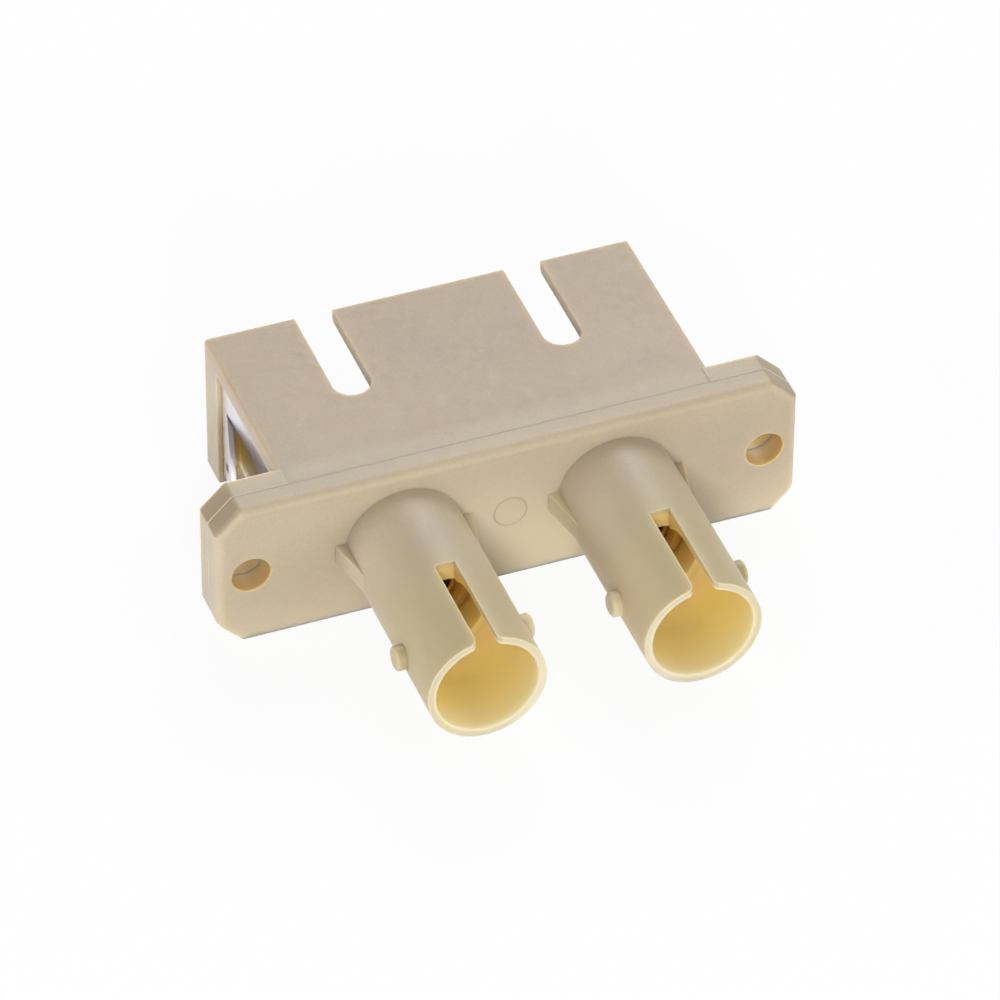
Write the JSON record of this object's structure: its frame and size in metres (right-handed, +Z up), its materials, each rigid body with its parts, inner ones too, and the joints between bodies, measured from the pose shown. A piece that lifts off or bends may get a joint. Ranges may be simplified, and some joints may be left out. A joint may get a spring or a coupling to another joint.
{
  "type": "st fibre adapter",
  "caption": "Beige flanged fibre-optic coupler with slotted bayonet barrels in front, square push-pull ports behind and a sprung steel clip that holds it in a panel.",
  "frame": {"origin": "midway between the two screw holes, on the flange face that meets the panel", "axes": "+X along the flange, +Y out of the square ports, +Z up through the key slots"},
  "size_m": [0.0348, 0.0282, 0.0094],
  "materials": {
    "housing_plastic": "moulded beige plastic with a fine satin texture",
    "insert_plastic": "moulded natural plastic",
    "sleeve_bronze": "drawn phosphor bronze",
    "spring_steel": "bright rolled stainless spring strip"
  },
  "bodies": {
    "root": {"front_housing": "housing_plastic", "rear_housing": "housing_plastic", "left_latch_insert": "insert_plastic", "right_latch_insert": "insert_plastic", "left_split_sleeve": "sleeve_bronze", "right_split_sleeve": "sleeve_bronze", "panel_clip": "spring_steel"}
  },
  "joints": []
}
